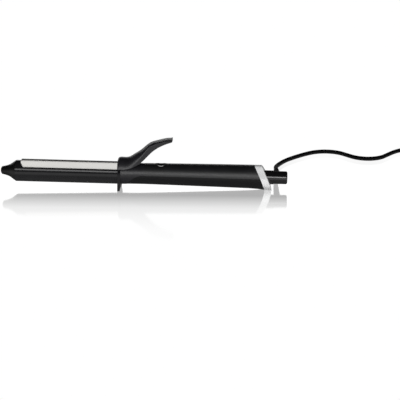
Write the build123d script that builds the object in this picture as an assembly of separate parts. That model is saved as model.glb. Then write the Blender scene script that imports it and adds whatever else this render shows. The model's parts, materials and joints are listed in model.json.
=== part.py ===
from build123d import *

import math
import os

os.makedirs("parts", exist_ok=True)

# A curling iron lying on its stand foot and the heel of its handle.
# Lengths are in millimetres. The iron is drawn along its own axis: x runs from the cool tip
# to the swivel, z is up from the barrel's axis. Everything is then tilted onto its two feet.

# ---- driving dimensions: stations along the iron, measured from the tip ----
TIP_END = 19.3
BARREL_END = 144.0
STAND_END = 147.7
COLLAR_END = 176.5
SOCKET_END = 333.4
CAP_START = 333.5
IRON_LENGTH = 350.0

# ---- barrel and heater ----
BARREL_R = 13.0
BARREL_WALL = 1.2
BORE_R = BARREL_R - BARREL_WALL
SPREADER_R = 11.5
SPREADER_X = (36.0, 120.0)
SPREADER_TAIL = 134.0
HEATER_T = 2.6
HEATER_HALF_W = 7.5
SENSOR_R = HEATER_T / 2
SENSOR_Y = 4.5
NECK_R = 10.65
BUSH_X = (135.0, 172.0)
BUSH_BORE_R = 8.6

# ---- stand foot and heel, which carry the iron ----
FOOT_DROP = 19.0
FOOT_HALF_W = 14.0
FOOT_T = 2.7
FOOT_ARCH_R = 31.4
FOOT_ARCH_DROP = 30.0
HEEL_X = 322.0
HEEL_DROP = 15.4
TRIM = 0.25

# ---- handle ----
WALL = 2.0
PARTING_Z = 0.7
REVEAL = 0.2
TONGUE_R = 23.1
TONGUE_ARC_X = 176.0
# sections of the handle: station, half width, half height, height of centre
HANDLE_SECTIONS = [
    (150.0, 12.9, 12.9, 0.1),
    (176.0, 12.95, 12.95, 0.4),
    (210.0, 13.35, 13.35, 0.45),
    (244.0, 13.8, 13.8, 0.45),
    (280.0, 14.15, 14.25, 0.4),
    (304.0, 14.3, 14.55, 0.3),
    (314.0, 14.35, 14.8, 0.05),
    (HEEL_X, 14.4, 15.1, -0.4),
    (332.0, 14.4, 15.3, -0.7),
]
BAND_FRONT = (308.3, 12.6, 320.4, -15.4)
BAND_LENGTH = 8.6
BAND_BULGE = 1.4
BAND_WALL = 2.4
BOSS_R = 2.3
SCREW_R = 1.1
SCREW_HEAD_R = 1.9
SCREW_SEAT = -6.0
SCREW_TOP = 5.5
SCREW_PLACES = [(182.5, -7.9), (182.5, 7.9), (296.5, 0.0)]

# ---- clamp ----
PLATE_X = (26.0, 153.0)
PLATE_R = 13.6
PLATE_T = 1.0
PLATE_HALF_ANGLE = 58.0
PLATE_CORNER = (8.0, 5.8)
PIVOT = (163.0, 17.0)
PIN_R = 1.5
PIN_HALF_LENGTH = 10.6
RUNNING = 0.05
LEVER_WALL = 1.8
# sections of the lever: station, half width, height of the top, height of its crown
LEVER_SECTIONS = [
    (143.9, 16.2, 18.1, 16.1),
    (153.4, 15.4, 20.3, 15.2),
    (163.1, 13.9, 24.4, 12.8),
    (172.9, 12.0, 31.1, 8.4),
    (180.0, 10.8, 37.3, 4.8),
    (183.5, 10.4, 39.5, 3.5),
    (189.0, 10.1, 41.4, 2.6),
    (197.0, 9.9, 43.5, 2.1),
    (204.0, 9.7, 44.9, 1.9),
    (209.8, 9.6, 45.9, 1.8),
]
# the lever's lower edge, from the front of its skirt to the end of the thumb pad
LEVER_EDGE = [
    (143.0, 8.0),
    (151.0, 8.5),
    (158.2, 9.5),
    (166.0, 12.6),
    (172.3, 16.6),
    (178.0, 22.0),
    (185.0, 29.2),
    (190.0, 33.3),
    (195.0, 36.4),
    (200.0, 38.8),
    (205.0, 40.8),
    (211.0, 42.2),
]
PAD_HALF_W = 10.2
PAD_CORNER = 5.0
RIVET_X = (147.0, 150.6)
RIVET_R = 1.2

# ---- hinge bracket and spring ----
BRACKET_X = (155.2, 170.6)
BRACKET_HALF_W = 5.0
BRACKET_T = 1.2
BRACKET_TOP = 13.9
EAR_R = 2.4
BRACKET_SCREW_X = (157.0, 169.0)
SPRING_R = 2.55
SPRING_WIRE_R = 0.45
SPRING_LEG_R = 0.4
SPRING_TURNS = 8

# ---- power button ----
BUTTON_X = 196.3
BUTTON_R = 5.2
RING_R = 6.6
RING_BORE_R = 5.35
RING_PROUD = 0.2
BUTTON_SUNK = 0.35
BUTTON_TRAVEL = 0.6
DISH_R = 26.0
DISH_FLOOR = 12.85

# ---- circuit board ----
BOARD_X = (186.0, 290.0)
BOARD_HALF_W = 8.5
BOARD_TOP = -0.8
BOARD_T = 1.6

# ---- swivel ----
SOCKET_R = 8.5
CAP_R = 7.85
SPINDLE_R = 5.0
SPINDLE_BORE_R = 2.6
SOCKET_X = 303.0
SOCKET_HOLLOW = (306.0, 329.4)
SOCKET_HOLLOW_R = 7.0
SLIP_RING_X = (309.0, 317.0)
SLIP_RING_W = 3.0
SLIP_RING_R = 6.2
CLIP_R = 6.2
RELIEF_X = 338.6
RELIEF_START = 5.6
RELIEF_END = 54.0
RELIEF_R = (4.4, 3.1)
RELIEF_DROOP = 4.6

# ---- cord ----
CORD_D = 5.6
CORD_GAP = 0.3
FLOOR_Z = CORD_D / 2
# the cord's route from the strain relief to the coil, as the corners of its runs
CORD_ROUTE = [
    (163.6, 72.0, 8.8),
    (164.5, 92.0, 5.2),
    (168.5, 113.0, FLOOR_Z),
    (178.0, 135.0, FLOOR_Z),
    (192.0, 155.0, FLOOR_Z),
    (207.0, 173.0, FLOOR_Z),
    (221.0, 186.0, FLOOR_Z),
    (238.0, 190.5, FLOOR_Z),
    (254.5, 183.0, FLOOR_Z),
    (265.0, 167.0, FLOOR_Z),
    (275.5, 153.0, FLOOR_Z),
    (291.5, 147.5, FLOOR_Z),
    (308.0, 155.0, FLOOR_Z),
    (319.5, 173.0, FLOOR_Z),
    (332.0, 192.0, FLOOR_Z),
    (348.0, 206.0, FLOOR_Z),
    (368.0, 213.0, FLOOR_Z),
    (391.0, 213.4, FLOOR_Z),
]
COIL_CENTRE = (396.0, 174.0)
COIL_R = 31.0
COIL_COLUMNS = 4
COIL_ROWS = 3
TIE_W = 9.0
TIE_T = 1.0
PLUG_X = COIL_CENTRE[0] + COIL_R + 1.5 * CORD_D
PLUG_Y = 138.0
PLUG_LENGTH = 35.0
PLUG_HALF_W = 17.6
PLUG_H = 13.7
PLUG_NECK_HALF_W = 6.5
PIN_LENGTH = 19.0
PLUG_PIN_R = 2.0
PLUG_PIN_HALF_SPACING = 9.0


# ---- helpers ----
def rod(radius, x0, x1, y=0.0, z=0.0):
    """A round bar along x."""
    return extrude(Plane.YZ.offset(x0) * Pos(y, z) * Circle(radius), x1 - x0)


def tube(outer, inner, x0, x1):
    return rod(outer, x0, x1) - rod(inner, x0 - 1, x1 + 1)


def post(radius, x, y, z0, z1):
    """A round bar along z."""
    return extrude(Plane.XY.offset(z0) * Pos(x, y) * Circle(radius), z1 - z0)


def cross_bar(radius, x, z, half_length):
    """A round bar along y, centred on the iron."""
    face = Plane.XZ.offset(-half_length) * Pos(x, z) * Circle(radius)
    return extrude(face, 2 * half_length)


def block(x0, x1, y0, y1, z0, z1):
    centre = Pos((x0 + x1) / 2, (y0 + y1) / 2, (z0 + z1) / 2)
    return centre * Box(x1 - x0, y1 - y0, z1 - z0)


def turned(edges):
    """A closed outline in the xz plane, turned about the iron's axis."""
    return revolve(make_face([Plane.XZ * e for e in edges]), Axis.X)


def side_prism(edges, half_width=30.0):
    """A closed outline in the xz plane, made a solid across the iron."""
    return extrude(make_face([Plane.XZ * e for e in edges]), half_width, both=True)


def group(solids):
    return Compound(children=list(solids))


def handle_form(grow=0.0, x_from=0.0, x_to=400.0):
    """The handle's outer form: straight runs between its sections, grown or shrunk, seam underneath."""
    faces = [
        Plane.YZ.offset(x) * Pos(0, z) * Rot(0, 0, -90) * Ellipse(half_h + grow, half_w + grow)
        for x, half_w, half_h, z in HANDLE_SECTIONS
    ]
    form = loft(faces, ruled=True)
    return form & block(x_from, x_to, -30, 30, -30, 30)


# ---- barrel group ----
def cool_tip():
    nose_r = 4.9
    neck_x = 2.0
    rear = TIP_END + 12.0
    outline = [
        ThreePointArc((0, 0), (0.55, nose_r * 0.62), (neck_x, nose_r)),
        Spline((neck_x, nose_r), (6.9, 6.0), (11.8, 7.95), (16.4, 11.2), (TIP_END, BARREL_R)),
        Polyline(
            (TIP_END, BARREL_R),
            (TIP_END, BORE_R),
            (rear, BORE_R),
            (rear, BORE_R - WALL),
            (TIP_END + 1, BORE_R - WALL),
            (12.0, 4.0),
            (12.0, 0),
            (0, 0),
        ),
    ]
    return turned(outline)


def barrel_tube():
    return tube(BARREL_R, BORE_R, TIP_END, BARREL_END)


def heat_spreaders():
    """Two half-round bars that press the heater plate between them."""
    slot = HEATER_T / 2
    upper = rod(SPREADER_R, *SPREADER_X) & block(*SPREADER_X, -20, 20, slot, 20)
    lower = rod(SPREADER_R, SPREADER_X[0], SPREADER_TAIL)
    lower = lower & block(SPREADER_X[0], SPREADER_TAIL, -20, 20, -20, -slot)
    return upper, lower


def heater_plate():
    x0, x1 = SPREADER_X
    return block(x0 + 2, x1 - 2, -HEATER_HALF_W, HEATER_HALF_W, -HEATER_T / 2, HEATER_T / 2)


def heater_leads():
    start = SPREADER_X[1] - 2
    end = BOARD_X[0] + 7
    pair = [rod(-BOARD_TOP, start, end, y) for y in (-1.3, 1.3)]
    return group(pair + [rod(-BOARD_TOP, SPREADER_TAIL - 2, end, -SENSOR_Y)])


def sensor_leads():
    lead_r = 0.35
    start = SPREADER_X[1] + 7
    end = BOARD_X[0] + 7
    z = BOARD_TOP + lead_r
    return group(rod(lead_r, start, end, y, z) for y in (SENSOR_Y - 0.45, SENSOR_Y + 0.45))


def barrel_insulator():
    body = rod(BORE_R, BUSH_X[0], BARREL_END) + rod(NECK_R, BARREL_END, BUSH_X[1])
    return body - rod(BUSH_BORE_R, BUSH_X[0] - 1, BUSH_X[1] + 1)


def stand_ring():
    """A flange round the barrel's end, with a foot that reaches the floor."""
    bottom = -(FOOT_DROP + TRIM)
    outline = Polyline(
        (-BARREL_R, 0),
        (BARREL_R, 0),
        (FOOT_HALF_W, bottom),
        (-FOOT_HALF_W, bottom),
        close=True,
    )
    plate = Circle(BARREL_R) + make_face(outline)
    plate -= Pos(0, bottom - FOOT_ARCH_DROP) * Circle(FOOT_ARCH_R)
    ring = extrude(Plane.YZ.offset(BARREL_END) * plate, STAND_END - BARREL_END)
    taper = [
        Polyline(
            (STAND_END, -BARREL_R),
            (STAND_END + 5, -BARREL_R),
            (STAND_END + 5, bottom - 1),
            (BARREL_END + FOOT_T, bottom - 1),
            close=True,
        )
    ]
    ring -= side_prism(taper)
    return ring - rod(NECK_R, BARREL_END - 1, STAND_END + 1)


# ---- handle group ----
def lower_region():
    """The space of the lower shell, which runs forward under the collar as a tongue."""
    cz = PARTING_Z - TONGUE_R
    arc = CenterArc((TONGUE_ARC_X, cz), TONGUE_R, 90, 90)
    rest = Polyline(arc @ 1, (TONGUE_ARC_X - TONGUE_R, -40), (400, -40), (400, PARTING_Z), arc @ 0)
    return side_prism([arc, rest])


def collar_form():
    seam = Rot(0, 0, 50)
    front = Plane.YZ.offset(STAND_END) * seam * Circle(BARREL_R - 0.05)
    rear = Plane.YZ.offset(COLLAR_END) * Pos(0, 0.5) * seam * Circle(12.75)
    return loft([front, rear])


def collar():
    return collar_form() - lower_region() - rod(NECK_R, STAND_END - 1, COLLAR_END + 1)


def band_edge(shift):
    """The slanted edge of the end band in side view, bowed a little to the rear."""
    x0, z0, x1, z1 = BAND_FRONT
    slope = (x1 - x0) / (z1 - z0)
    reach = 12.0
    top = (x0 + slope * reach + shift, z0 + reach)
    low = (x1 - slope * reach + shift, z1 - reach)
    bulge = BAND_BULGE * 2.6
    middle = ((top[0] + low[0]) / 2 + bulge, (top[1] + low[1]) / 2)
    return ThreePointArc(top, middle, low)


def in_front_of_band(shift=0.0):
    edge = band_edge(shift)
    start = edge @ 0
    end = edge @ 1
    return side_prism([edge, Polyline(end, (100, end.Y), (100, start.Y), start)])


def shells():
    """The two halves of the handle, hollow, with screw bosses."""
    outer = handle_form() & in_front_of_band()
    hollow = handle_form(-WALL, COLLAR_END - 0.5) + rod(NECK_R, 140, COLLAR_END + 0.5)
    region = lower_region()
    lower = handle_form(-REVEAL) & in_front_of_band() & region
    upper = outer & block(COLLAR_END, 400, -30, 30, PARTING_Z, 30)
    bosses = [boss & handle_form(-WALL / 2) for boss in screw_bosses()]
    lower = (lower - hollow) + [b & region for b in bosses]
    upper = (upper - hollow) + [b - region for b in bosses]
    for x, y in SCREW_PLACES:
        upper -= post(SCREW_R, x, y, PARTING_Z - 1, SCREW_TOP)
        lower -= post(SCREW_HEAD_R, x, y, -20, SCREW_SEAT) + post(SCREW_R, x, y, -10, PARTING_Z + 1)
    upper -= post(RING_R, BUTTON_X, 0, 5, 30)
    lower -= swivel_hollow()
    upper -= swivel_hollow()
    return upper, lower


def screw_bosses():
    return [post(BOSS_R, x, y, -15, 15) for x, y in SCREW_PLACES]


def shell_screws():
    return group(
        post(SCREW_HEAD_R, x, y, SCREW_SEAT - 1.2, SCREW_SEAT)
        + post(SCREW_R, x, y, SCREW_SEAT, SCREW_TOP)
        for x, y in SCREW_PLACES
    )


def swivel_hollow():
    return rod(SOCKET_R, SOCKET_X, SOCKET_END + 1)


def end_band():
    body = (handle_form() & in_front_of_band(BAND_LENGTH)) - in_front_of_band()
    inner = handle_form(-BAND_WALL) & in_front_of_band(BAND_LENGTH - BAND_WALL)
    return body - inner - swivel_hollow()


# ---- clamp group ----
def plate_sector(r_in, r_out, half_angle, x0, x1):
    start = 90 - half_angle
    outer = CenterArc((0, 0), r_out, start, 2 * half_angle)
    inner = CenterArc((0, 0), r_in, start, 2 * half_angle)
    face = make_face([outer, inner, Line(outer @ 0, inner @ 0), Line(outer @ 1, inner @ 1)])
    return extrude(Plane.YZ.offset(x0) * face, x1 - x0)


def clamp_plate():
    """The spring-held tongue that grips the hair, curved round the barrel's top."""
    x0, x1 = PLATE_X
    plate = plate_sector(PLATE_R, PLATE_R + PLATE_T, PLATE_HALF_ANGLE, x0, x1)
    half_w = (PLATE_R + PLATE_T) * math.sin(math.radians(PLATE_HALF_ANGLE))
    along, across = PLATE_CORNER
    corner_box = Rectangle(along, across, align=(Align.MIN, Align.MIN))
    corner = corner_box - Pos(along, 0) * Ellipse(along, across)
    right = Pos(x0, half_w - across) * corner
    cutters = extrude(right, 30) + extrude(mirror(right, Plane.XZ), 30)
    plate -= cutters
    for x in RIVET_X:
        plate -= post(RIVET_R, x, 0, 10, 20)
    return plate


def lever_form(shrink=0.0, x_from=0.0, x_to=400.0):
    """The lever's outer form: an arch over the collar that rises into a flat thumb pad."""
    faces = []
    for x, half_w, top, crown in LEVER_SECTIONS:
        w = half_w - shrink
        c = max(crown - shrink * 0.6, 0.8)
        peak = top - shrink
        arch = EllipticalCenterArc((0, peak - c), w, c, start_angle=0, arc_size=180)
        base = Polyline((-w, peak - c), (-w, peak - c - 24), (w, peak - c - 24), (w, peak - c))
        faces.append(Plane.YZ.offset(x) * make_face([arch, base]))
    form = loft(faces)
    return form & block(x_from, x_to, -30, 30, -30, 60)


def clamp_lever():
    edge = Spline(*LEVER_EDGE)
    above = Polyline(edge @ 1, (LEVER_EDGE[-1][0], 60), (LEVER_EDGE[0][0], 60), edge @ 0)
    body = lever_form() & side_prism([edge, above])
    end = LEVER_SECTIONS[-1][0]
    length = end - LEVER_SECTIONS[0][0] + 2 * PAD_CORNER
    plan = Pos(end - length / 2 - PAD_CORNER, 0) * Rectangle(length, 6 * PAD_HALF_W)
    plan += Pos(end - length / 2, 0) * RectangleRounded(length, 2 * PAD_HALF_W, PAD_CORNER)
    body &= extrude(plan, 80)
    body -= rod(PLATE_R + PLATE_T, LEVER_SECTIONS[0][0] - 1, 156.0)
    body -= lever_form(LEVER_WALL, PLATE_X[1] + 0.2, 191.0)
    body -= cross_bar(PIN_R, *PIVOT, PIN_HALF_LENGTH)
    for x in RIVET_X:
        body -= post(RIVET_R, x, 0, 10, 16.6)
    return body


def clamp_rivets():
    return group(post(RIVET_R, x, 0, PLATE_R, 16.6) for x in RIVET_X)


def hinge_pin():
    return cross_bar(PIN_R, *PIVOT, PIN_HALF_LENGTH)


def hinge_bracket():
    """A saddle screwed to the collar, with two ears that carry the hinge pin."""
    x0, x1 = BRACKET_X
    px, pz = PIVOT
    body = block(x0, x1, -BRACKET_HALF_W, BRACKET_HALF_W, 8, BRACKET_TOP)
    ear = cross_bar(EAR_R, px, pz, BRACKET_HALF_W)
    ear += block(px - EAR_R, px + EAR_R, -BRACKET_HALF_W, BRACKET_HALF_W, 8, pz)
    gap = BRACKET_HALF_W - BRACKET_T
    ear -= block(px - 5, px + 5, -gap, gap, 5, 25)
    body = (body + ear) - collar_form()
    body -= cross_bar(PIN_R + RUNNING, px, pz, BRACKET_HALF_W + 1)
    for x in BRACKET_SCREW_X:
        body -= post(1.0, x, 0, 5, 20)
    return body


def bracket_screws():
    return group(
        post(1.0, x, 0, 11.2, BRACKET_TOP) + post(1.7, x, 0, BRACKET_TOP, BRACKET_TOP + 1.1)
        for x in BRACKET_SCREW_X
    )


def torsion_spring():
    """Close turns round the hinge pin, with one leg on the collar and one under the lever."""
    px, pz = PIVOT
    pitch = 2 * SPRING_WIRE_R
    half = pitch * SPRING_TURNS / 2
    outer = SPRING_R + SPRING_WIRE_R
    groove = outer - SPRING_WIRE_R / 2
    bore = SPRING_R - SPRING_WIRE_R
    starts = [-half + i * pitch for i in range(SPRING_TURNS)]
    turns = [
        ThreePointArc((groove, y), (outer, y + pitch / 2), (groove, y + pitch)) for y in starts
    ]
    sides = Polyline((groove, half), (bore, half), (bore, -half), (groove, -half))
    body = Pos(px, 0, pz) * revolve(make_face(turns + [sides]), Axis.Y)
    leg_r = SPRING_R - 0.1
    low = rod(SPRING_LEG_R, px, px + 9.5, half - pitch / 2, pz - leg_r)
    high = rod(SPRING_LEG_R, px, px + 8.0, pitch / 2 - half, pz + leg_r)
    return body + low + high


# ---- power button and electronics ----
def button_ring():
    ring = post(RING_R, BUTTON_X, 0, 8.6, 30) - post(RING_BORE_R, BUTTON_X, 0, 5, 31)
    return ring & handle_form(RING_PROUD)


def power_button():
    cap = post(BUTTON_R, BUTTON_X, 0, 8.6, 30) & handle_form(-BUTTON_SUNK)
    cap -= Pos(BUTTON_X, 0, DISH_FLOOR + DISH_R) * Sphere(DISH_R)
    stem = post(1.8, BUTTON_X, 0, 5.6 + BUTTON_TRAVEL, 8.6)
    return cap + stem


def tactile_switch():
    half = 3.2
    body = block(BUTTON_X - half, BUTTON_X + half, -half, half, BOARD_TOP, 3.4)
    return body + post(1.6, BUTTON_X, 0, 3.4, 5.5)


def circuit_board():
    x0, x1 = BOARD_X
    return block(x0, x1, -BOARD_HALF_W, BOARD_HALF_W, BOARD_TOP - BOARD_T, BOARD_TOP)


def on_board(x, y, length, width, height):
    return block(
        x - length / 2, x + length / 2, y - width / 2, y + width / 2, BOARD_TOP, BOARD_TOP + height
    )


def supply_leads():
    """Two leads from the terminal block to the socket, clear of the clip on the spindle."""
    lead_r = 0.9
    y = CLIP_R + lead_r + 0.3
    return group(rod(lead_r, 287.0, SOCKET_X, side * y, BOARD_TOP + 3.0) for side in (-1, 1))


# ---- swivel group ----
def swivel_socket():
    x0, x1 = SOCKET_HOLLOW
    body = rod(SOCKET_R, SOCKET_X, SOCKET_END)
    body -= rod(SPINDLE_R + RUNNING, SOCKET_X - 1, SOCKET_END + 1)
    return body - rod(SOCKET_HOLLOW_R, x0, x1)


def slip_rings():
    return group(tube(SLIP_RING_R, SPINDLE_R, x, x + SLIP_RING_W) for x in SLIP_RING_X)


def contact_brushes():
    return group(
        tube(SOCKET_HOLLOW_R, SLIP_RING_R + RUNNING, x + 0.4, x + SLIP_RING_W - 0.4)
        & block(x, x + SLIP_RING_W, -1.6, 1.6, 0, 10)
        for x in SLIP_RING_X
    )


def swivel_spindle():
    return tube(SPINDLE_R, SPINDLE_BORE_R, 300.5, 342.0)


def swivel_clip():
    return tube(CLIP_R, SPINDLE_R, SOCKET_X - 1.3, SOCKET_X - 0.1)


def relief_direction():
    droop = math.radians(RELIEF_DROOP)
    return Vector(0, math.cos(droop), -math.sin(droop))


def relief_point(distance):
    return Vector(RELIEF_X, 0, 0) + relief_direction() * distance


def strain_relief():
    direction = relief_direction()
    wide = Plane(relief_point(RELIEF_START), z_dir=direction) * Circle(RELIEF_R[0])
    thin = Plane(relief_point(RELIEF_END), z_dir=direction) * Circle(RELIEF_R[1])
    return loft([wide, thin])


def swivel_cap():
    body = rod(CAP_R, CAP_START, IRON_LENGTH)
    body = fillet(body.edges().filter_by(GeomType.CIRCLE).sort_by(Axis.X)[-1], 1.8)
    body -= rod(SPINDLE_R, CAP_START - 1, 342.0)
    return body - strain_relief()


# ---- cord, drawn in place on the floor ----
def cord_path(points):
    """Straight runs joined by arcs as large as the runs allow."""
    radii = []
    for before, corner, after in zip(points, points[1:], points[2:]):
        turn = math.radians((corner - before).get_angle(after - corner))
        run = min((corner - before).length, (after - corner).length)
        radii.append(0.45 * run / math.tan(turn / 2))
    print("cord radii in diameters:", [round(r / CORD_D, 1) for r in radii])
    return FilletPolyline(*points, radius=radii)


def cord_tube(points):
    path = cord_path(points)
    section = Plane(path @ 0, z_dir=path % 0) * Circle(CORD_D / 2)
    body = sweep(section, path=path)
    ratio = body.volume / section.area / path.length
    print("cord run", round(path.length, 1), "volume ratio", round(ratio, 4))
    return body


def cord_coil():
    width = COIL_COLUMNS * CORD_D
    height = COIL_ROWS * CORD_D
    section = Pos(COIL_R, height / 2) * RectangleRounded(width, height, CORD_D * 0.45)
    return Pos(*COIL_CENTRE) * revolve(Plane.XZ * section, Axis.Z)


def cord_tie():
    """A strap round the coil's turns, pulled a little into them."""
    cx, cy = COIL_CENTRE
    half_w = COIL_COLUMNS * CORD_D / 2
    height = COIL_ROWS * CORD_D
    y = cy - COIL_R
    outer = block(cx - TIE_W / 2, cx + TIE_W / 2, y - half_w, y + half_w, 0, height)
    inner = block(
        cx - TIE_W, cx + TIE_W, y - half_w + TIE_T, y + half_w - TIE_T, TIE_T, height - TIE_T
    )
    return outer - inner


def cord_tail():
    return extrude(
        Plane.XZ.offset(-PLUG_Y) * Pos(PLUG_X, FLOOR_Z + 4.0) * Circle(CORD_D / 2),
        -(COIL_CENTRE[1] - 16 - PLUG_Y),
    )


def plug_outline(half_front, half_neck):
    y_front = PLUG_Y - PLUG_LENGTH
    return make_face(
        Polyline(
            (PLUG_X - half_neck, PLUG_Y),
            (PLUG_X + half_neck, PLUG_Y),
            (PLUG_X + half_neck + 2, PLUG_Y - 15),
            (PLUG_X + half_front, y_front + 9),
            (PLUG_X + half_front, y_front),
            (PLUG_X - half_front, y_front),
            (PLUG_X - half_front, y_front + 9),
            (PLUG_X - half_neck - 2, PLUG_Y - 15),
            close=True,
        )
    )


def plug_body():
    body = extrude(plug_outline(PLUG_HALF_W, PLUG_NECK_HALF_W), PLUG_H)
    body = chamfer(body.edges().filter_by(Plane.XY), 2.6)
    return fillet(body.edges().filter_by(Axis.Z), 1.5)


def plug_pins():
    y = PLUG_Y - PLUG_LENGTH
    return group(
        extrude(Plane.XZ.offset(-y) * Pos(PLUG_X + x, PLUG_H / 2) * Circle(PLUG_PIN_R), PIN_LENGTH)
        for x in (-PLUG_PIN_HALF_SPACING, PLUG_PIN_HALF_SPACING)
    )


# ---- assembly ----
def iron_nodes():
    """Every node of the iron, in its own frame."""
    spreader_upper, spreader_lower = heat_spreaders()
    shell_upper, shell_lower = shells()
    return {
        "cool_tip": cool_tip(),
        "barrel_tube": barrel_tube(),
        "heat_spreader_upper": spreader_upper,
        "heat_spreader_lower": spreader_lower,
        "heater_plate": heater_plate(),
        "temperature_sensor": rod(SENSOR_R, SPREADER_X[1] + 1, SPREADER_X[1] + 7, SENSOR_Y),
        "thermal_fuse": rod(SENSOR_R, SPREADER_X[1] + 1, SPREADER_TAIL - 2, -SENSOR_Y),
        "heater_leads": heater_leads(),
        "sensor_leads": sensor_leads(),
        "barrel_insulator": barrel_insulator(),
        "stand_ring": stand_ring(),
        "collar": collar() - bracket_screws(),
        "hinge_bracket": hinge_bracket(),
        "bracket_screws": bracket_screws(),
        "torsion_spring": torsion_spring(),
        "hinge_pin": hinge_pin(),
        "clamp_plate": clamp_plate(),
        "clamp_lever": clamp_lever(),
        "clamp_rivets": clamp_rivets(),
        "upper_shell": shell_upper,
        "lower_shell": shell_lower,
        "shell_screws": shell_screws(),
        "button_ring": button_ring(),
        "power_button": power_button(),
        "tactile_switch": tactile_switch(),
        "circuit_board": circuit_board(),
        "indicator_lamp": post(1.5, 203.0, 0, BOARD_TOP, BOARD_TOP + 4.5),
        "controller_chip": on_board(215.0, 0, 10.0, 8.0, 1.6),
        "filter_capacitor": rod(3.2, 225.0, 239.0, -3.5, BOARD_TOP + 3.2),
        "power_triac": on_board(246.0, 3.0, 10.0, 5.0, 6.5),
        "film_capacitor": on_board(262.0, 0, 13.0, 6.0, 8.0),
        "terminal_block": on_board(281.0, 0, 12.0, 2 * BOARD_HALF_W - 0.6, 6.0),
        "supply_leads": supply_leads(),
        "end_band": end_band(),
        "swivel_socket": swivel_socket(),
        "contact_brushes": contact_brushes(),
        "swivel_spindle": swivel_spindle(),
        "slip_rings": slip_rings(),
        "swivel_clip": swivel_clip(),
        "swivel_cap": swivel_cap(),
        "strain_relief": strain_relief(),
    }


TILT = math.atan2(FOOT_DROP - HEEL_DROP, HEEL_X - BARREL_END)
AXIS_HEIGHT = BARREL_END * math.sin(TILT) + FOOT_DROP * math.cos(TILT)
ON_SIDE_OF_IRON = ("strain_relief",)


def placement(nodes):
    """Tilts the iron onto its feet and puts the middle of its length at the origin."""
    tilt = Pos(0, 0, AXIS_HEIGHT) * Rot(0, math.degrees(TILT), 0)
    boxes = [(tilt * s).bounding_box() for n, s in nodes.items() if n not in ON_SIDE_OF_IRON]
    middle = (min(b.min.X for b in boxes) + max(b.max.X for b in boxes)) / 2
    return Pos(-middle, 0, 0) * tilt


def main():
    nodes = iron_nodes()
    place = placement(nodes)
    placed = {name: place * shape for name, shape in nodes.items()}
    under_floor = block(-300, 300, -60, 60, -20, 0)
    for name in ("stand_ring", "lower_shell", "end_band"):
        placed[name] = placed[name] - under_floor
    tip = (place * Pos(*relief_point(RELIEF_END + CORD_GAP))).position
    print("cord starts at", tip)
    placed["cord"] = cord_tube([tip] + [Vector(*p) for p in CORD_ROUTE])
    placed["cord_tie"] = cord_tie()
    placed["cord_coil"] = cord_coil()
    placed["cord_tail"] = cord_tail()
    placed["plug_body"] = plug_body()
    placed["plug_pins"] = plug_pins()
    for name, shape in placed.items():
        export_step(shape, f"parts/{name}.step")
    pivot = (place * Pos(PIVOT[0], 0, PIVOT[1])).position
    print("hinge at", pivot, "swivel at", (place * Pos(RELIEF_X, 0, 0)).position)
    print("tilt", math.degrees(TILT))


main()
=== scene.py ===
import json
import math

import bmesh
import bpy
from mathutils import Matrix, Vector


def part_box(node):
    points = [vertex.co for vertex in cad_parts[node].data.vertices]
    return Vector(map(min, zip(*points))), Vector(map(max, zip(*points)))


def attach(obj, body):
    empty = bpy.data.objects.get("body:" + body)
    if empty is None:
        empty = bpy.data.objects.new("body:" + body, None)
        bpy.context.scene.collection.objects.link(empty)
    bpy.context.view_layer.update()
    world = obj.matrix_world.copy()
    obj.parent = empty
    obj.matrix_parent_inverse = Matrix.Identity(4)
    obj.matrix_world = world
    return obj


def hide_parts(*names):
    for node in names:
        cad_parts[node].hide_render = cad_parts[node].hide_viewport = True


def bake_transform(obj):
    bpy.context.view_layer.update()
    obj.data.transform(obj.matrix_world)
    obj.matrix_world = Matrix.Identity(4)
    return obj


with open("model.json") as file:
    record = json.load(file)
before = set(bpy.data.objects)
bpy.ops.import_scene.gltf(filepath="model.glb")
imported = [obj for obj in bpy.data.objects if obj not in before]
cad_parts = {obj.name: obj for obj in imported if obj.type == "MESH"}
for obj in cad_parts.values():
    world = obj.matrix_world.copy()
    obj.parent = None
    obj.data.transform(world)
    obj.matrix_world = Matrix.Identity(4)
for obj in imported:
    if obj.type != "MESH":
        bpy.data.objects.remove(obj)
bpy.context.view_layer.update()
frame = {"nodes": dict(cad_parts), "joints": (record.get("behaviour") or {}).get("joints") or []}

# A curling iron on a white table, with its lead running off behind it. Lengths are in metres.
NODES = frame["nodes"]
JOINTS = {joint["name"]: joint for joint in frame["joints"]}
MM = 0.001


# ---- camera ----
LENS = 100.0
SENSOR = 36.0
CAMERA_DISTANCE = 1.356
CAMERA_AZIMUTH = math.radians(1.8)
CAMERA_ELEVATION = math.radians(16.0)
LOOK_AT = Vector((0.0690, -0.0066, -0.0123))


def direction(azimuth, elevation):
    """The way from the object to a viewer or a light; azimuth 0 is in front, towards -Y."""
    flat = math.cos(elevation)
    return Vector((math.sin(azimuth) * flat, -math.cos(azimuth) * flat, math.sin(elevation)))


def add_object(name, data):
    made = bpy.data.objects.new(name, data)
    bpy.context.scene.collection.objects.link(made)
    return made


def aim(thing, place, target):
    thing.location = place
    thing.rotation_euler = (Vector(target) - place).to_track_quat("-Z", "Y").to_euler()


def make_camera():
    data = bpy.data.cameras.new("camera")
    data.lens = LENS
    data.sensor_width = SENSOR
    camera = add_object("camera", data)
    away = direction(CAMERA_AZIMUTH, CAMERA_ELEVATION)
    aim(camera, LOOK_AT + away * CAMERA_DISTANCE, LOOK_AT)
    bpy.context.scene.camera = camera


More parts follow.
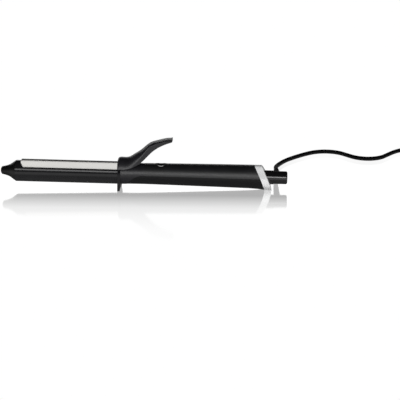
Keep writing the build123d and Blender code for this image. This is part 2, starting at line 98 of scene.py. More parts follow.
# ---- the lead's route and coil ----
LEAD_D = 0.0056
ON_TABLE = LEAD_D / 2
SWIVEL_CENTRE = Vector(JOINTS["cord_swivel"]["pos_m"])
LEAD_EXIT = Vector((0.163436, 0.0541251, 0.0107073))
LEAD_ROUTE = [
    (0.1636, 0.0720, 0.0088),
    (0.1645, 0.0920, 0.0052),
    (0.1685, 0.1130, ON_TABLE),
    (0.1780, 0.1350, ON_TABLE),
    (0.1920, 0.1550, ON_TABLE),
    (0.2070, 0.1730, ON_TABLE),
    (0.2210, 0.1860, ON_TABLE),
    (0.2380, 0.1905, ON_TABLE),
    (0.2545, 0.1830, ON_TABLE),
    (0.2650, 0.1670, ON_TABLE),
    (0.2755, 0.1530, ON_TABLE),
    (0.2915, 0.1475, ON_TABLE),
    (0.3080, 0.1550, ON_TABLE),
    (0.3195, 0.1730, ON_TABLE),
    (0.3320, 0.1920, ON_TABLE),
    (0.3480, 0.2060, ON_TABLE),
    (0.3680, 0.2130, ON_TABLE),
    (0.3910, 0.2134, ON_TABLE),
]
COIL_CENTRE = Vector((0.396, 0.174, 0.0))
COIL_R = 0.031
COIL_COLUMNS = 4
COIL_ROWS = 3
POINTS_PER_TURN = 16
TURN_UNEVENNESS = 0.00025
STEPS_BETWEEN_TURNS = 3
# the place of each turn in the coil's section: column from the inside, row from the table
TURN_CELLS = [
    (3, 0), (2, 0), (1, 0), (0, 0), (0, 1), (0, 2),
    (1, 2), (1, 1), (2, 1), (2, 2), (3, 2), (3, 1),
]
LEAD_TAIL = [
    (0.4354, 0.1580, 0.0076),
    (0.4354, 0.1480, 0.0070),
    (0.4354, 0.1370, 0.0068),
]


def cell_place(cell):
    """Radius and height of a turn that lies in that cell."""
    column, row = cell
    radius = COIL_R + (column - (COIL_COLUMNS - 1) / 2) * LEAD_D
    return Vector((radius, ON_TABLE + row * LEAD_D))


def coil_points():
    """Twelve turns and a quarter, clockwise from the back, each moving on to the next cell."""
    grow = 1 / math.cos(math.pi / POINTS_PER_TURN)
    points = []
    last = len(TURN_CELLS) - 1
    for step in range(len(TURN_CELLS) * POINTS_PER_TURN + POINTS_PER_TURN // 4 + 1):
        turn, part = divmod(step, POINTS_PER_TURN)
        here = cell_place(TURN_CELLS[min(turn, last)])
        after = cell_place(TURN_CELLS[min(turn + 1, last)])
        moved = max(0, part - (POINTS_PER_TURN - STEPS_BETWEEN_TURNS)) / STEPS_BETWEEN_TURNS
        radius, height = here.lerp(after, moved)
        angle = math.pi / 2 - step * 2 * math.pi / POINTS_PER_TURN
        radius = radius * grow + TURN_UNEVENNESS * math.sin(3 * angle + turn)
        points.append(COIL_CENTRE + Vector((radius * math.cos(angle), radius * math.sin(angle), height)))
    return points


def lead_spline():
    """The lead's own line, as a curve with no thickness."""
    curve = bpy.data.curves.new("lead_line", "CURVE")
    curve.dimensions = "3D"
    spline = curve.splines.new("NURBS")
    points = [LEAD_EXIT, *map(Vector, LEAD_ROUTE), *coil_points(), *map(Vector, LEAD_TAIL)]
    spline.points.add(len(points) - 1)
    for control, point in zip(spline.points, points):
        control.co = (*point, 1)
    spline.order_u = 3
    spline.use_endpoint_u = True
    spline.resolution_u = 6
    return curve


def evaluated_mesh(obj):
    graph = bpy.context.evaluated_depsgraph_get()
    return bpy.data.meshes.new_from_object(obj.evaluated_get(graph))


def line_points(curve):
    """Points along a curve, read from the curve itself."""
    carrier = add_object("line_carrier", curve)
    mesh = evaluated_mesh(carrier)
    points = [vertex.co.copy() for vertex in mesh.vertices]
    bpy.data.objects.remove(carrier)
    bpy.data.meshes.remove(mesh)
    return points


def make_lead():
    curve = lead_spline()
    points = line_points(curve)
    curve.bevel_depth = LEAD_D / 2
    curve.bevel_resolution = 5
    curve.use_fill_caps = True
    carrier = add_object("lead_carrier", curve)
    mesh = evaluated_mesh(carrier)
    bpy.data.objects.remove(carrier)
    lead = add_object("power_lead", mesh)
    mesh.shade_smooth()
    return lead, points


# ---- mesh helpers ----
def finish_mesh(name, bm, smooth_angle=35.0):
    """Closes a bmesh into an object, with its faces outwards and smooth between sharp edges."""
    bmesh.ops.remove_doubles(bm, verts=bm.verts, dist=1e-6)
    bmesh.ops.recalc_face_normals(bm, faces=bm.faces)
    mesh = bpy.data.meshes.new(name)
    bm.to_mesh(mesh)
    bm.free()
    mesh.shade_smooth()
    mesh.set_sharp_from_angle(angle=math.radians(smooth_angle))
    return add_object(name, mesh)


def round_edges(bm, edges, width, segments=3):
    bmesh.ops.bevel(
        bm, geom=list(edges), offset=width, offset_type="OFFSET", affect="EDGES",
        segments=segments, profile=0.5, material=-1, clamp_overlap=True,
    )


def spun(name, outline, origin, axis, steps=48):
    """A closed outline of (distance, radius) pairs, spun about an axis through origin."""
    bm = bmesh.new()
    verts = [bm.verts.new((radius, 0, distance)) for distance, radius in outline]
    edges = [bm.edges.new(pair) for pair in zip(verts, verts[1:])]
    bmesh.ops.spin(
        bm, geom=verts + edges, cent=(0, 0, 0), axis=(0, 0, 1), dvec=(0, 0, 0),
        angle=2 * math.pi, steps=steps, use_merge=True, use_duplicate=False,
    )
    turn = Vector(axis).to_track_quat("Z", "Y").to_matrix().to_4x4()
    bmesh.ops.transform(bm, matrix=Matrix.Translation(origin) @ turn, verts=bm.verts)
    return finish_mesh(name, bm)


# ---- soft sleeve where the lead leaves the swivel ----
SLEEVE_START = 0.0056
SLEEVE_R = (0.0044, 0.0031)
SLEEVE_RIBS = 9
RIB_GROOVE = 0.0011
RIB_DEPTH = 0.0007
SLEEVE_COLLAR = 0.013
SLEEVE_TAIL = 0.004


def make_sleeve():
    """A tapered sleeve with flexing ribs, closed at both ends; the lead runs on from its narrow end."""
    run = LEAD_EXIT - SWIVEL_CENTRE
    end = run.length
    taper = (SLEEVE_R[1] - SLEEVE_R[0]) / (end - SLEEVE_START)
    soft = RIB_GROOVE * 0.25
    pitch = (end - SLEEVE_TAIL - SLEEVE_COLLAR) / SLEEVE_RIBS

    def radius(distance):
        return SLEEVE_R[0] + taper * (distance - SLEEVE_START)

    outline = [(SLEEVE_START, 0), (SLEEVE_START, radius(SLEEVE_START))]
    for i in range(SLEEVE_RIBS):
        groove = SLEEVE_COLLAR + i * pitch
        outline += [
            (groove - soft, radius(groove)),
            (groove, radius(groove) - soft),
            (groove + soft, radius(groove) - RIB_DEPTH),
            (groove + RIB_GROOVE - soft, radius(groove) - RIB_DEPTH),
            (groove + RIB_GROOVE, radius(groove) - soft),
            (groove + RIB_GROOVE + soft, radius(groove)),
        ]
    outline += [
        (end - 0.0006, radius(end)),
        (end, radius(end) - 0.0003),
        (end, 0),
    ]
    return spun("ribbed_sleeve", outline, SWIVEL_CENTRE, run.normalized(), steps=40)


# ---- strap that ties the coil ----
STRAP_W = 0.009
STRAP_T = 0.0010
STRAP_CORNER_R = 0.45 * LEAD_D
STRAP_EDGE_R = 0.0003


def make_strap():
    """A hook-and-loop strap, wrapped tightly round the coil's turns at its front."""
    half = COIL_COLUMNS * LEAD_D / 2
    height = COIL_ROWS * LEAD_D
    middle_y = COIL_CENTRE.y - COIL_R
    bm = bmesh.new()
    corners = [(-half, 0), (half, 0), (half, height), (-half, height)]
    verts = [bm.verts.new((0, middle_y + y, z)) for y, z in corners]
    bm.faces.new(verts)
    bmesh.ops.bevel(
        bm, geom=list(bm.verts), offset=STRAP_CORNER_R, offset_type="OFFSET",
        affect="VERTICES", segments=6, profile=0.5, material=-1,
    )
    bmesh.ops.delete(bm, geom=list(bm.faces), context="FACES_ONLY")
    grown = bmesh.ops.extrude_edge_only(bm, edges=list(bm.edges))
    moved = [v for v in grown["geom"] if isinstance(v, bmesh.types.BMVert)]
    bmesh.ops.translate(bm, vec=(STRAP_W, 0, 0), verts=moved)
    bmesh.ops.translate(bm, vec=(COIL_CENTRE.x - STRAP_W / 2, 0, 0), verts=bm.verts)
    strap = finish_mesh("coil_strap", bm)
    wall = strap.modifiers.new("wall", "SOLIDIFY")
    wall.thickness = STRAP_T
    wall.offset = -1
    soft = strap.modifiers.new("soft_edge", "BEVEL")
    soft.width = STRAP_EDGE_R
    soft.segments = 2
    return strap


# ---- plug ----
PLUG_LOW, PLUG_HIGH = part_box("plug_body")
PLUG_X = (PLUG_LOW.x + PLUG_HIGH.x) / 2
PLUG_NECK_HALF = 0.0065
PLUG_SHOULDER = 0.009
PLUG_PINCH = 0.015
PLUG_CORNER_R = 0.0022
PLUG_RIM_R = 0.0028
GRIP_MARGIN = 0.0022
GRIP_WALL = 0.0004
GRIP_DEPTH = 0.0006
FACE_MARGIN = 0.0012
FACE_GROOVE = 0.0003
FACE_GROOVE_DEPTH = 0.0004
FINGER_RIBS = 5
FINGER_RIB = (0.009, 0.0011, 0.0009)
FINGER_RIB_PITCH = 0.0026
FINGER_RIB_NARROWING = 0.0006
FINGER_RIB_SINK = 0.0005
FINGER_RIB_EDGE_R = 0.0003
FIRST_RIB = 0.0085
NECK_R = 0.0044
NECK_RIBS = 5
NECK_PITCH = 0.0028
NECK_HEIGHT = 0.00685
NECK_START = -0.002
FIRST_NECK_RIB = 0.0005
NECK_RIB_DEPTH = 0.0009
NECK_NARROWING = 0.0002
NECK_END_R = (0.0036, 0.0033)


def make_plug():
    """A flat two-pin plug: arrow-shaped, rounded all over, with a recessed grip on each side."""
    half = PLUG_HIGH.x - PLUG_X
    front, back = PLUG_LOW.y, PLUG_HIGH.y
    right = [
        (PLUG_NECK_HALF, back),
        (PLUG_NECK_HALF + 0.002, back - PLUG_PINCH),
        (half, front + PLUG_SHOULDER),
        (half, front),
    ]
    outline = right + [(-x, y) for x, y in reversed(right)]
    bm = bmesh.new()
    base = bm.faces.new([bm.verts.new((PLUG_X + x, y, PLUG_LOW.z)) for x, y in outline])
    grown = bmesh.ops.extrude_face_region(bm, geom=[base])
    moved = [v for v in grown["geom"] if isinstance(v, bmesh.types.BMVert)]
    bmesh.ops.translate(bm, vec=(0, 0, PLUG_HIGH.z - PLUG_LOW.z), verts=moved)
    bmesh.ops.recalc_face_normals(bm, faces=bm.faces)
    upright = [e for e in bm.edges if abs(e.verts[0].co.z - e.verts[1].co.z) > MM]
    round_edges(bm, upright, PLUG_CORNER_R, 5)
    rims = [e for e in bm.edges if abs(e.verts[0].co.z - e.verts[1].co.z) < 1e-6]
    round_edges(bm, rims, PLUG_RIM_R, 5)
    for face in [f for f in bm.faces if abs(f.normal.z) > 0.99 and f.calc_area() > 2e-4]:
        bmesh.ops.inset_region(bm, faces=[face], thickness=GRIP_MARGIN, depth=0)
        bmesh.ops.inset_region(bm, faces=[face], thickness=GRIP_WALL, depth=-GRIP_DEPTH)
    for face in [f for f in bm.faces if f.normal.y < -0.99 and f.calc_area() > 1e-4]:
        bmesh.ops.inset_region(bm, faces=[face], thickness=FACE_MARGIN, depth=0)
        bmesh.ops.inset_region(bm, faces=[face], thickness=FACE_GROOVE, depth=-FACE_GROOVE_DEPTH)
        bmesh.ops.inset_region(bm, faces=[face], thickness=FACE_GROOVE, depth=FACE_GROOVE_DEPTH)
    return finish_mesh("plug_shell", bm, 30.0)


def make_plug_ribs():
    """Finger ribs in the grip of the plug, above and below."""
    bm = bmesh.new()
    length, width, height = FINGER_RIB
    for side_z in (PLUG_HIGH.z - FINGER_RIB_SINK, PLUG_LOW.z + FINGER_RIB_SINK):
        for i in range(FINGER_RIBS):
            made = bmesh.ops.create_cube(bm, size=1)
            y = PLUG_LOW.y + FIRST_RIB + i * FINGER_RIB_PITCH
            shape = Matrix.Diagonal((length - i * FINGER_RIB_NARROWING, width, height, 1))
            place = Matrix.Translation((PLUG_X, y, side_z))
            bmesh.ops.transform(bm, matrix=place @ shape, verts=made["verts"])
    round_edges(bm, bm.edges, FINGER_RIB_EDGE_R, 2)
    return finish_mesh("plug_finger_ribs", bm)


def make_plug_sleeve():
    """Ribbed neck where the lead enters the plug."""
    outline = [(NECK_START, 0), (NECK_START, NECK_R)]
    for i in range(NECK_RIBS):
        start = FIRST_NECK_RIB + i * NECK_PITCH
        wide = NECK_R - i * NECK_NARROWING
        narrow = wide - NECK_RIB_DEPTH
        outline += [
            (start, wide),
            (start + 0.3 * NECK_PITCH, wide),
            (start + 0.45 * NECK_PITCH, narrow),
            (start + 0.85 * NECK_PITCH, narrow),
        ]
    end = FIRST_NECK_RIB + NECK_RIBS * NECK_PITCH
    outline += [(end, NECK_END_R[0]), (end + MM, NECK_END_R[1]), (end + MM, 0)]
    place = Vector((PLUG_X, PLUG_HIGH.y, NECK_HEIGHT))
    return spun("plug_sleeve", outline, place, (0, 1, 0), steps=32)


# ---- shared material effects ----
def new_group(name, inputs, outputs):
    """A shader node group with the given sockets, and its input and output nodes."""
    group = bpy.data.node_groups.new(name, "ShaderNodeTree")
    kinds = {"value": "NodeSocketFloat", "colour": "NodeSocketColor", "vector": "NodeSocketVector"}
    for label, kind, default in inputs:
        socket = group.interface.new_socket(label, in_out="INPUT", socket_type=kinds[kind])
        if default is not None:
            socket.default_value = default
    for label, kind in outputs:
        group.interface.new_socket(label, in_out="OUTPUT", socket_type=kinds[kind])
    return group, group.nodes.new("NodeGroupInput"), group.nodes.new("NodeGroupOutput")


def add_node(tree, kind, links=(), **settings):
    """A node with its settings, and its inputs linked to sockets or set to values."""
    node = tree.nodes.new(kind)
    for name, value in settings.items():
        setattr(node, name, value)
    for socket, source in dict(links).items():
        if isinstance(source, bpy.types.NodeSocket):
            tree.links.new(source, node.inputs[socket])
        else:
            node.inputs[socket].default_value = source
    return node


def colour_mix(tree, first, second, share=1.0, **settings):
    """The colour that a Mix node makes of two colours; share may be a socket."""
    mix = add_node(tree, "ShaderNodeMix", data_type="RGBA", **settings)
    colours = [socket for socket in mix.inputs if socket.type == "RGBA"]
    for socket, source in zip([mix.inputs["Factor"]] + colours, (share, first, second)):
        if isinstance(source, bpy.types.NodeSocket):
            tree.links.new(source, socket)
        else:
            socket.default_value = source
    return [socket for socket in mix.outputs if socket.type == "RGBA"][0]


def grain_group():
    """Fine moulded texture: small pebbles with a softer drift over them."""
    group, given, out = new_group(
        "moulded_grain",
        [("Vector", "vector", None), ("Scale", "value", 2200.0)],
        [("Height", "value")],
    )
    place, scale = given.outputs["Vector"], given.outputs["Scale"]
    pebbles = add_node(
        group, "ShaderNodeTexVoronoi", {"Vector": place, "Scale": scale}, feature="SMOOTH_F1"
    )
    coarse = add_node(group, "ShaderNodeMath", {0: scale, 1: 0.35}, operation="MULTIPLY")
    drift = add_node(
        group, "ShaderNodeTexNoise", {"Vector": place, "Scale": coarse.outputs[0], "Detail": 3.0}
    )
    height = add_node(
        group, "ShaderNodeMath", {0: pebbles.outputs["Distance"], 1: drift.outputs["Fac"]},
        operation="MULTIPLY",
    )
    group.links.new(height.outputs[0], out.inputs["Height"])
    return group


def drift_group():
    """Slow change between two values over the surface, as on a handled moulding."""
    group, given, out = new_group(
        "slow_drift",
        [
            ("Vector", "vector", None),
            ("Scale", "value", 60.0),
            ("Low", "value", 0.3),
            ("High", "value", 0.4),
            ("Colour A", "colour", (0, 0, 0, 1)),
            ("Colour B", "colour", (1, 1, 1, 1)),
        ],
        [("Value", "value"), ("Colour", "colour")],
    )
    noise = add_node(
        group, "ShaderNodeTexNoise",
        {"Vector": given.outputs["Vector"], "Scale": given.outputs["Scale"], "Detail": 4.0},
    )
    value = add_node(
        group, "ShaderNodeMapRange",
        {
            "Value": noise.outputs["Fac"],
            "From Min": 0.3,
            "From Max": 0.7,
            "To Min": given.outputs["Low"],
            "To Max": given.outputs["High"],
        },
    )
    share = add_node(
        group, "ShaderNodeMapRange", {"Value": noise.outputs["Fac"], "From Min": 0.3, "From Max": 0.7}
    )
    mixed = colour_mix(
        group, given.outputs["Colour A"], given.outputs["Colour B"], share.outputs["Result"]
    )
    group.links.new(value.outputs["Result"], out.inputs["Value"])
    group.links.new(mixed, out.inputs["Colour"])
    return group


def brushed_group():
    """Fine parallel lines: noise drawn out along one way."""
    group, given, out = new_group(
        "brushed_lines",
        [("Vector", "vector", None), ("Stretch", "vector", (20.0, 1500.0, 1500.0))],
        [("Height", "value")],
    )
    drawn = add_node(
        group, "ShaderNodeVectorMath",
        {0: given.outputs["Vector"], 1: given.outputs["Stretch"]}, operation="MULTIPLY",
    )
    noise = add_node(
        group, "ShaderNodeTexNoise", {"Vector": drawn.outputs[0], "Scale": 1.0, "Detail": 3.0}
    )
    group.links.new(noise.outputs["Fac"], out.inputs["Height"])
    return group


GRAIN = grain_group()
DRIFT = drift_group()
BRUSHED = brushed_group()


def start_material(name, roughness, metallic=0.0, ior_level=0.5):
    material = bpy.data.materials.new(name)
    material.use_nodes = True
    tree = material.node_tree
    shader = tree.nodes["Principled BSDF"]
    shader.inputs["Roughness"].default_value = roughness
    shader.inputs["Metallic"].default_value = metallic
    shader.inputs["Specular IOR Level"].default_value = ior_level
    place = tree.nodes.new("ShaderNodeTexCoord").outputs["Object"]
    return material, tree, shader, place


def place_group(tree, group, links):
    return add_node(tree, "ShaderNodeGroup", links, node_tree=group)


def add_bump(tree, shader, height, depth):
    bump = add_node(tree, "ShaderNodeBump", {"Height": height, "Distance": depth, "Strength": 1.0})
    tree.links.new(bump.outputs["Normal"], shader.inputs["Normal"])


def two_tones(tree, shader, place, colour, other, roughness, scale):
    """Gives a shader a colour and a roughness that drift between two values over the surface."""
    slow = place_group(
        tree, DRIFT,
        {
            "Vector": place,
            "Scale": scale,
            "Low": roughness[0],
            "High": roughness[1],
            "Colour A": (*colour, 1),
            "Colour B": (*other, 1),
        },
    )
    tree.links.new(slow.outputs["Value"], shader.inputs["Roughness"])
    tree.links.new(slow.outputs["Colour"], shader.inputs["Base Color"])
    return slow.outputs["Colour"]


def moulded(name, colour, other, roughness, ior_level=0.5, grain=2200.0, depth=2e-6, coat=0.0):
    """Moulded or painted surface: two close tones, roughness that drifts, and a fine grain."""
    material, tree, shader, place = start_material(name, roughness[0], ior_level=ior_level)
    two_tones(tree, shader, place, colour, other, roughness, 60.0)
    fine = place_group(tree, GRAIN, {"Vector": place, "Scale": grain})
    shader.inputs["Coat Weight"].default_value = coat
    shader.inputs["Coat Roughness"].default_value = 0.08
    add_bump(tree, shader, fine.outputs["Height"], depth)
    return material


def metal(name, colour, other, roughness, stretch, depth=1e-6, metallic=1.0):
    """Metal with drawn lines and slightly uneven polish."""
    material, tree, shader, place = start_material(name, roughness[0], metallic=metallic)
    two_tones(tree, shader, place, colour, other, roughness, 40.0)
    lines = place_group(tree, BRUSHED, {"Vector": place, "Stretch": stretch})
    add_bump(tree, shader, lines.outputs["Height"], depth)
    return material


def sparkling_silver():
    """Silver lacquer with fine metal flakes, for the slanted band."""
    material, tree, shader, place = start_material("silver_lacquer", 0.3, metallic=0.55)
    tone = two_tones(tree, shader, place, (0.80, 0.81, 0.82), (0.88, 0.88, 0.88), (0.28, 0.40), 90.0)
    flakes = add_node(tree, "ShaderNodeTexVoronoi", {"Vector": place, "Scale": 2600.0})
    shade = add_node(
        tree, "ShaderNodeMapRange", {"Value": flakes.outputs["Color"], "To Min": 0.88, "To Max": 1.08}
    )
    mixed = colour_mix(tree, tone, shade.outputs["Result"], blend_type="MULTIPLY")
    tree.links.new(mixed, shader.inputs["Base Color"])
    add_bump(tree, shader, flakes.outputs["Distance"], 6e-6)
    return material


def circuit_laminate():
    """Green laminate with straight copper tracks under the lacquer."""
    material, tree, shader, place = start_material("circuit_laminate", 0.35)
    tracks = add_node(
        tree, "ShaderNodeTexBrick",
        {
            "Vector": place,
            "Color1": (0.012, 0.10, 0.035, 1),
            "Color2": (0.016, 0.12, 0.045, 1),
            "Mortar": (0.06, 0.24, 0.08, 1),
            "Scale": 160.0,
            "Mortar Size": 0.03,
        },
    )
    weave = place_group(tree, GRAIN, {"Vector": place, "Scale": 1500.0})
    tree.links.new(tracks.outputs["Color"], shader.inputs["Base Color"])
    add_bump(tree, shader, weave.outputs["Height"], 4e-6)
    return material


def strap_weave():
    """Woven strap: fine cross threads."""
    material, tree, shader, place = start_material("strap_weave", 0.75, ior_level=0.3)
    shader.inputs["Sheen Weight"].default_value = 0.25
    threads = [
        add_node(
            tree, "ShaderNodeTexWave",
            {"Vector": place, "Scale": 520.0, "Distortion": 0.6},
            wave_type="BANDS", bands_direction=way,
        )
        for way in ("X", "DIAGONAL")
    ]
    crossed = add_node(
        tree, "ShaderNodeMath", {0: threads[0].outputs["Fac"], 1: threads[1].outputs["Fac"]},
        operation="MULTIPLY",
    )
    two_tones(tree, shader, place, (0.010, 0.010, 0.011), (0.022, 0.022, 0.024), (0.7, 0.85), 300.0)
    add_bump(tree, shader, crossed.outputs[0], 8e-5)
    return material


ALONG = (20.0, 1500.0, 1500.0)
AROUND = (1500.0, 60.0, 60.0)

MATERIALS = {
    "tip_plastic": moulded(
        "tip_plastic", (0.006, 0.006, 0.006), (0.009, 0.009, 0.009), (0.30, 0.38), 0.35
    ),
    "barrel_coating": moulded(
        "barrel_coating", (0.009, 0.009, 0.010), (0.012, 0.012, 0.013), (0.11, 0.14), 0.45, 900.0, 1e-6
    ),
    "satin_black": moulded(
        "satin_black", (0.007, 0.007, 0.0085), (0.010, 0.0095, 0.012), (0.36, 0.42), 0.45
    ),
    "shell_satin": moulded(
        "shell_satin", (0.0045, 0.0046, 0.0052), (0.0062, 0.0062, 0.0072), (0.40, 0.45), 0.5
    ),
    "lower_satin": moulded(
        "lower_satin", (0.0045, 0.0046, 0.0052), (0.0062, 0.0062, 0.0072), (0.36, 0.42), 0.35
    ),
    "swivel_gloss": moulded(
        "swivel_gloss", (0.0035, 0.0035, 0.0038), (0.0045, 0.0045, 0.005), (0.16, 0.20), 0.8
    ),
    "button_black": moulded(
        "button_black", (0.010, 0.010, 0.011), (0.015, 0.015, 0.016), (0.34, 0.40), 0.4
    ),
    "relief_rubber": moulded(
        "relief_rubber", (0.022, 0.022, 0.023), (0.032, 0.032, 0.034), (0.48, 0.60), 0.4, 1800.0, 4e-6
    ),
    "lead_rubber": moulded(
        "lead_rubber", (0.0022, 0.0022, 0.0024), (0.0036, 0.0036, 0.0039), (0.40, 0.50), 0.2, 1500.0, 5e-6
    ),
    "plug_plastic": moulded(
        "plug_plastic", (0.010, 0.010, 0.011), (0.015, 0.015, 0.016), (0.38, 0.46), 0.4
    ),
    "insulator_plastic": moulded(
        "insulator_plastic", (0.42, 0.38, 0.30), (0.50, 0.46, 0.38), (0.5, 0.6)
    ),
    "switch_black": moulded("switch_black", (0.02, 0.02, 0.02), (0.03, 0.03, 0.03), (0.4, 0.5)),
    "ceramic": moulded("ceramic", (0.72, 0.70, 0.66), (0.80, 0.79, 0.76), (0.45, 0.6)),
    "sensor_glass": moulded("sensor_glass", (0.45, 0.20, 0.08), (0.55, 0.28, 0.12), (0.08, 0.15)),
    "board_blue": moulded("board_blue", (0.02, 0.09, 0.30), (0.03, 0.12, 0.38), (0.35, 0.45)),
    "lamp_red": moulded("lamp_red", (0.45, 0.02, 0.02), (0.55, 0.04, 0.03), (0.1, 0.16), coat=0.5),
    "capacitor_yellow": moulded(
        "capacitor_yellow", (0.60, 0.40, 0.05), (0.68, 0.47, 0.08), (0.3, 0.4)
    ),
    "plate_silver": metal(
        "plate_silver", (0.80, 0.79, 0.765), (0.84, 0.83, 0.80), (0.22, 0.27), ALONG, 4e-7
    ),
    "chrome": metal("chrome", (0.80, 0.80, 0.80), (0.84, 0.84, 0.84), (0.06, 0.10), AROUND, 2e-7),
    "blackened_steel": metal(
        "blackened_steel", (0.010, 0.010, 0.011), (0.020, 0.019, 0.018), (0.35, 0.45), AROUND,
        metallic=0.4,
    ),
    "steel": metal("steel", (0.52, 0.51, 0.50), (0.60, 0.60, 0.59), (0.22, 0.30), AROUND),
    "aluminium": metal("aluminium", (0.75, 0.76, 0.77), (0.80, 0.80, 0.81), (0.32, 0.42), ALONG),
    "brass": metal("brass", (0.78, 0.56, 0.24), (0.84, 0.62, 0.30), (0.18, 0.28), AROUND),
    "lead_copper": metal("lead_copper", (0.80, 0.40, 0.22), (0.86, 0.46, 0.28), (0.25, 0.35), ALONG),
    "silver_band": sparkling_silver(),
    "board_green": circuit_laminate(),
    "strap": strap_weave(),
}

# the finish of each visible CAD node
FINISHES = {
    "tip_plastic": ["cool_tip"],
    "barrel_coating": ["barrel_tube"],
    "satin_black": ["stand_ring", "collar", "clamp_lever"],
    "shell_satin": ["upper_shell"],
    "lower_satin": ["lower_shell"],
    "swivel_gloss": ["swivel_socket", "swivel_cap"],
    "button_black": ["power_button"],
    "plate_silver": ["clamp_plate"],
    "chrome": ["button_ring", "plug_pins"],
    "silver_band": ["end_band"],
    "blackened_steel": ["hinge_bracket", "bracket_screws", "shell_screws"],
    "steel": ["torsion_spring", "clamp_rivets", "hinge_pin", "swivel_clip"],
    "aluminium": ["heat_spreader_upper", "heat_spreader_lower"],
    "ceramic": ["heater_plate", "thermal_fuse"],
    "sensor_glass": ["temperature_sensor"],
    "lead_copper": ["heater_leads", "sensor_leads", "supply_leads"],
    "insulator_plastic": ["barrel_insulator", "swivel_spindle"],
    "brass": ["slip_rings", "contact_brushes"],
    "switch_black": ["tactile_switch", "controller_chip", "power_triac"],
    "board_green": ["circuit_board"],
    "board_blue": ["filter_capacitor", "terminal_block"],
    "lamp_red": ["indicator_lamp"],
    "capacitor_yellow": ["film_capacitor"],
}


def give_material(obj, material):
    if not obj.data.materials:
        obj.data.materials.append(material)
    for slot in obj.material_slots:
        slot.material = material


def finish_nodes():
    for finish, names in FINISHES.items():
        for name in names:
            give_material(NODES[name], MATERIALS[finish])


# ---- studio ----
TABLE_GLOW = 1.0
TABLE_ROUGHNESS = 0.09
# how much of the table's look is its gloss, by the distance in front of or behind the object
TABLE_GLOSS = [(0.030, 0.57), (0.060, 0.34), (0.085, 0.17), (0.115, 0.10), (0.170, 0.03)]
BACKDROP_DISTANCE = 5.0
CARD_GLOW = 1.1
# the pale band at the horizon: the angles in degrees where it starts, is full, starts to fade and ends
BAND_EDGES = (-35, -18, -1, 4)
FRONT_GLOW = 0.66
BACK_GLOW = 0.30
STUDIO_GLOW = 0.03


def table_gloss(tree):
    """The table's share of gloss: most under the object, and fading away from it."""
    place = tree.nodes.new("ShaderNodeTexCoord").outputs["Object"]
    parts = add_node(tree, "ShaderNodeSeparateXYZ", {0: place})
    away = add_node(tree, "ShaderNodeMath", {0: parts.outputs["Y"]}, operation="ABSOLUTE")
    share = TABLE_GLOSS[-1][1]
    for (near, high), (far, low) in zip(TABLE_GLOSS, TABLE_GLOSS[1:]):
        step = add_node(
            tree, "ShaderNodeMapRange",
            {
                "Value": away.outputs[0],
                "From Min": near,
                "From Max": far,
                "To Min": high - low,
                "To Max": 0.0,
            },
        )
        total = add_node(
            tree, "ShaderNodeMath", {0: step.outputs["Result"], 1: share}, operation="ADD"
        )
        share = total.outputs[0]
    return share


def make_table():
    """A white glossy table top that runs out of view on all sides."""
    bm = bmesh.new()
    bmesh.ops.create_grid(bm, x_segments=1, y_segments=1, size=12)
    table = finish_mesh("table_top", bm)
    material = bpy.data.materials.new("white_gloss_table")
    material.use_nodes = True
    tree = material.node_tree
    tree.nodes.remove(tree.nodes["Principled BSDF"])
    out = tree.nodes["Material Output"]
    glow = add_node(tree, "ShaderNodeEmission", {"Color": (1, 1, 1, 1), "Strength": TABLE_GLOW})
    gloss = add_node(
        tree, "ShaderNodeBsdfGlossy", {"Color": (1, 1, 1, 1), "Roughness": TABLE_ROUGHNESS}
    )
    top = add_node(
        tree, "ShaderNodeMixShader", {0: table_gloss(tree), 1: glow.outputs[0], 2: gloss.outputs[0]}
    )
    tree.links.new(top.outputs[0], out.inputs["Surface"])
    give_material(table, material)
    table.visible_glossy = False
    table.visible_shadow = False
    return table


def between(tree, source, low, high, at_low, at_high):
    """A value that changes smoothly from at_low to at_high as source goes from low to high."""
    ramp = add_node(
        tree, "ShaderNodeMapRange",
        {"Value": source, "From Min": low, "From Max": high, "To Min": at_low, "To Max": at_high},
        interpolation_type="SMOOTHSTEP",
    )
    return ramp.outputs["Result"]


def make_world():
    """A dim studio with a paler band in front at the horizon; the camera sees white beyond it."""
    world = bpy.data.worlds.new("studio")
    bpy.context.scene.world = world
    world.use_nodes = True
    tree = world.node_tree
    tree.nodes.clear()
    way = add_node(tree, "ShaderNodeTexCoord")
    parts = add_node(tree, "ShaderNodeSeparateXYZ", {0: way.outputs["Generated"]})
    height = parts.outputs["Z"]
    start, full, fading, end = (math.sin(math.radians(angle)) for angle in BAND_EDGES)
    over = between(tree, height, fading, end, 1.0, 0.0)
    under = between(tree, height, start, full, 0.3, 1.0)
    front = between(tree, parts.outputs["Y"], -0.2, 0.2, FRONT_GLOW, BACK_GLOW)
    band = add_node(tree, "ShaderNodeMath", {0: over, 1: under}, operation="MULTIPLY")
    level = add_node(
        tree, "ShaderNodeMath", {0: band.outputs[0], 1: front, 2: STUDIO_GLOW}, operation="MULTIPLY_ADD"
    )
    seen = add_node(tree, "ShaderNodeLightPath")
    white = (1, 1, 1, 1)
    studio = add_node(
        tree, "ShaderNodeBackground", {"Color": white, "Strength": level.outputs[0]}
    )
    backdrop = add_node(tree, "ShaderNodeBackground", {"Color": white, "Strength": 1.0})
    both = add_node(
        tree, "ShaderNodeMixShader",
        {0: seen.outputs["Is Camera Ray"], 1: studio.outputs[0], 2: backdrop.outputs[0]},
    )
    add_node(tree, "ShaderNodeOutputWorld", {"Surface": both.outputs[0]})


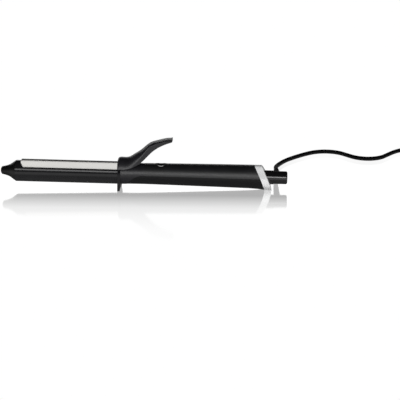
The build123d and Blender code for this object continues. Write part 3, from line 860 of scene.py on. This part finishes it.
def softbox(name, place, target, size, radiance, only):
    """A rectangular light for the listed pieces; its power follows from its size and brightness."""
    data = bpy.data.lights.new(name, "AREA")
    data.shape = "RECTANGLE"
    data.size, data.size_y = size
    data.energy = radiance * math.pi * size[0] * size[1]
    light = add_object(name, data)
    light.visible_camera = False
    aim(light, Vector(place), Vector(target))
    lit = bpy.data.collections.new(name + "_lights")
    for obj in only:
        lit.objects.link(obj)
    light.light_linking.receiver_collection = lit


def make_lights(table):
    """Soft panels, each kept to the surfaces that it is set for, as flags and cards do in a studio."""
    middle = Vector((0.03, 0, 0.02))

    def panel(name, elevation, distance, size, radiance, *names, behind=False):
        azimuth = math.pi if behind else 0.0
        place = direction(azimuth, math.radians(elevation)) * distance + middle
        softbox(name, place, middle, size, radiance, [NODES[node] for node in names])

    satin = ("upper_shell", "collar", "clamp_lever")
    silver = ("end_band", "button_ring")
    panel("satin_panel", 19, 1.9, (3.6, 0.74), 4.2, *satin)
    panel("gloss_panel", 17, 1.9, (3.6, 0.42), 5.6, "swivel_socket", "swivel_cap")
    panel("barrel_strip", 27, 1.6, (3.0, 0.38), 3.6, "barrel_tube")
    panel("silver_panel", 24, 1.5, (2.6, 1.3), 0.66, *silver)
    panel("table_bounce", -42, 1.0, (2.2, 1.3), 0.62, *silver)
    panel("back_panel", 17, 1.9, (3.6, 0.50), 1.6, *satin, "lower_shell", "barrel_tube", "cool_tip",
          behind=True)
    softbox(
        "plate_panel", (-0.05, -0.05, 0.60), (-0.05, -0.05, 0), (1.4, 0.95), 0.82,
        [NODES["clamp_plate"], NODES["end_band"]],
    )
    for i in range(4):
        away = direction(i * math.pi / 2, 0.0) * BACKDROP_DISTANCE
        softbox(
            f"table_backdrop_{i}", away + Vector((0, 0, 2)), (0, 0, 2), (12, 5), CARD_GLOW, [table]
        )
    softbox("table_ceiling", (0, 0, 4.4), (0, 0, 0), (14, 14), CARD_GLOW, [table])


# ---- build ----
make_camera()

lead, lead_points = make_lead()
sleeve = make_sleeve()
strap = make_strap()
plug = make_plug()
plug_ribs = make_plug_ribs()
plug_sleeve = make_plug_sleeve()

give_material(lead, MATERIALS["lead_rubber"])
give_material(sleeve, MATERIALS["relief_rubber"])
give_material(strap, MATERIALS["strap"])
for piece in (plug, plug_ribs, plug_sleeve):
    give_material(piece, MATERIALS["plug_plastic"])
finish_nodes()

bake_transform(lead)
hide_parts("cord", "cord_coil", "cord_tail")
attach(sleeve, "swivel")
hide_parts("strain_relief")
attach(strap, "root")
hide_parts("cord_tie")
for piece in (plug, plug_ribs, plug_sleeve):
    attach(piece, "root")
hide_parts("plug_body")

table_top = make_table()
make_world()
make_lights(table_top)
bpy.context.scene.view_settings.view_transform = "Standard"
